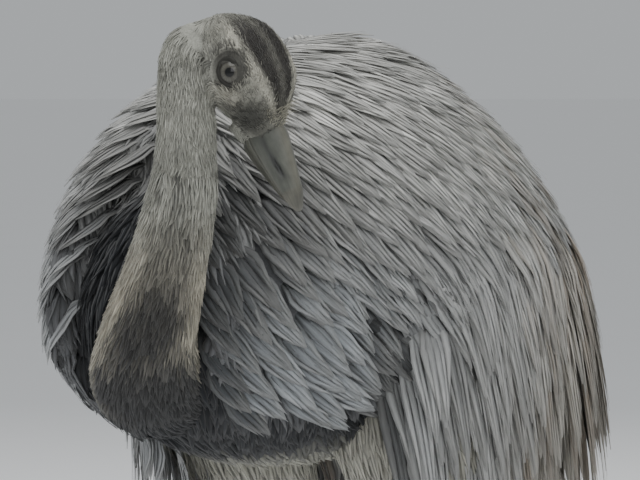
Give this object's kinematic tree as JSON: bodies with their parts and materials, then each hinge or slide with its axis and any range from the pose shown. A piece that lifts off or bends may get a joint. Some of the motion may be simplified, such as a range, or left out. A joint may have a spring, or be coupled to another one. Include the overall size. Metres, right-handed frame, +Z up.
{
  "type": "greater rhea",
  "caption": "Life-size still model of a standing greater rhea: deep body under draped grey wing feathers, curved neck with the head bowed, bare scaly legs and flat three-toed feet.",
  "frame": {"origin": "on the floor, under the middle of the whole bird's bounding box", "axes": "+Z up; the bird faces -Y, and +X is the bird's left"},
  "size_m": [0.4074, 0.8244, 0.9875],
  "materials": {
    "wing_feathers": "matte, soft feather vanes",
    "breast_feathers": "matte, dark slate feathers over the breast",
    "neck_feathers": "matte, short hair-like feathers",
    "thigh_feathers": "matte, pale downy feathers",
    "bill_horn": "dull horn",
    "eye": "wet and polished, pale iris round a dark pupil",
    "leg_scales": "dry horny scutes and scales",
    "claw_horn": "dull dark horn"
  },
  "bodies": {
    "root": {"torso": "breast_feathers", "neck_lower": "neck_feathers", "neck_upper": "neck_feathers", "head": "neck_feathers", "bill_upper": "bill_horn", "bill_lower": "bill_horn", "eye_left": "eye", "eye_right": "eye", "wing_left": "wing_feathers", "wing_right": "wing_feathers", "tail_tuft": "wing_feathers", "thigh_left": "thigh_feathers", "thigh_right": "thigh_feathers", "shank_left": "leg_scales", "toe_inner_left": "leg_scales", "toe_middle_left": "leg_scales", "toe_outer_left": "leg_scales", "claw_inner_left": "claw_horn", "claw_middle_left": "claw_horn", "claw_outer_left": "claw_horn", "shank_right": "leg_scales", "toe_inner_right": "leg_scales", "toe_middle_right": "leg_scales", "toe_outer_right": "leg_scales", "claw_inner_right": "claw_horn", "claw_middle_right": "claw_horn", "claw_outer_right": "claw_horn"}
  },
  "joints": []
}
